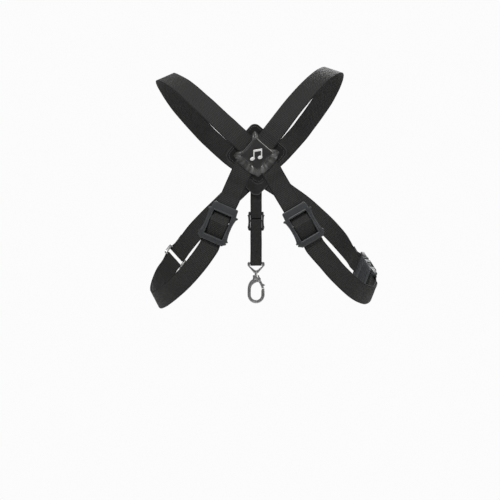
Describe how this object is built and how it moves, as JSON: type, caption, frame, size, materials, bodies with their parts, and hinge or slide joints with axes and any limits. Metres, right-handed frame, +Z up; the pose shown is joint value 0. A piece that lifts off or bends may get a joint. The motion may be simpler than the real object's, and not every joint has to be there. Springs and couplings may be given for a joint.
{
  "type": "saxophone shoulder harness strap",
  "caption": "Cross-back shoulder harness of black webbing with a leather back patch, slide adjusters, a side-release buckle and a swivel snap hook.",
  "frame": {"origin": "midway between the two places where the straps cross the wearer's shoulders", "axes": "+Z up, +Y towards the wearer's chest, +X towards the wearer's right"},
  "size_m": [0.2896, 0.198, 0.3066],
  "materials": {
    "webbing": "woven polyester webbing, matte with a slight sheen",
    "leather": "smooth grain leather, satin",
    "plastic": "moulded acetal, fine matte texture",
    "metal": "nickel-plated, satin",
    "silver": "silver-coloured metal, soft shine"
  },
  "bodies": {
    "harness": {"back_patch": "leather", "emblem": "silver", "shoulder_strap_left": "webbing", "shoulder_strap_right": "webbing", "adjusting_strap_left": "webbing", "adjusting_strap_right": "webbing", "side_ring": "metal", "front_strap_left": "webbing", "buckle_socket": "plastic", "front_strap_right": "webbing", "chest_inner": "leather", "chest_outer": "leather"},
    "slide_left": {"slide_left": "plastic"},
    "slide_right": {"slide_right": "plastic"},
    "plug": {"buckle_plug": "plastic"},
    "prong_upper": {"buckle_prong_upper": "plastic"},
    "prong_lower": {"buckle_prong_lower": "plastic"},
    "hanger": {"hanger_strap": "webbing"},
    "hanger_slide": {"hanger_slide": "plastic"},
    "eye": {"hook_eye": "metal"},
    "hook": {"hook_body": "metal", "gate_pin": "metal"},
    "gate": {"hook_gate": "metal"}
  },
  "joints": [
    {"name": "slide_left_travel", "type": "slide", "parent": "harness", "child": "slide_left", "axis": [-0.4003, 0.0206, -0.9162], "range_m": [-0.026, 0.01], "deforming": ["adjusting_strap_left"]},
    {"name": "slide_right_travel", "type": "slide", "parent": "harness", "child": "slide_right", "axis": [0.5034, 0.0236, -0.8637], "range_m": [-0.034, 0.008], "deforming": ["adjusting_strap_right"]},
    {"name": "buckle_release", "type": "slide", "parent": "harness", "child": "plug", "axis": [-0.3007, 0.7732, 0.5584], "range_m": [0, 0.03], "deforming": ["front_strap_right", "buckle_prong_upper", "buckle_prong_lower"]},
    {"name": "prong_upper_squeeze", "type": "hinge", "parent": "plug", "child": "prong_upper", "pos_m": [0.13956, 0.04226, -0.23073], "axis": [0.9076, 0.4119, -0.0816], "range_deg": [0, 8], "stiffness_Nm_per_rad": 0.5},
    {"name": "prong_lower_squeeze", "type": "hinge", "parent": "plug", "child": "prong_lower", "pos_m": [0.13388, 0.05161, -0.24675], "axis": [-0.9076, -0.4119, 0.0816], "range_deg": [0, 8], "stiffness_Nm_per_rad": 0.5},
    {"name": "hanger_swing", "type": "hinge", "parent": "harness", "child": "hanger", "pos_m": [0, 0.10395, -0.143], "axis": [1, 0, 0], "range_deg": [0, 70], "deforming": ["hanger_strap"]},
    {"name": "hanger_adjust", "type": "slide", "parent": "hanger", "child": "hanger_slide", "axis": [0, 0, 1], "range_m": [-0.03, 0.01]},
    {"name": "hook_follow", "type": "slide", "parent": "hanger_slide", "child": "eye", "axis": [0, 0, 1], "range_m": [-0.005, 0.015]},
    {"name": "hook_swivel", "type": "hinge", "parent": "eye", "child": "hook", "pos_m": [0, 0.10535, -0.25], "axis": [0, 0, 1], "continuous": true},
    {"name": "gate_hinge", "type": "hinge", "parent": "hook", "child": "gate", "pos_m": [0.0046, 0.10535, -0.2553], "axis": [0, 1, 0], "range_deg": [0, 28], "stiffness_Nm_per_rad": 0.04, "springref_deg": -17.19}
  ],
  "couplings": [
    {"joint": "prong_lower_squeeze", "follows": "prong_upper_squeeze", "ratio": 1},
    {"joint": "hook_follow", "follows": "hanger_adjust", "ratio": -0.5}
  ]
}
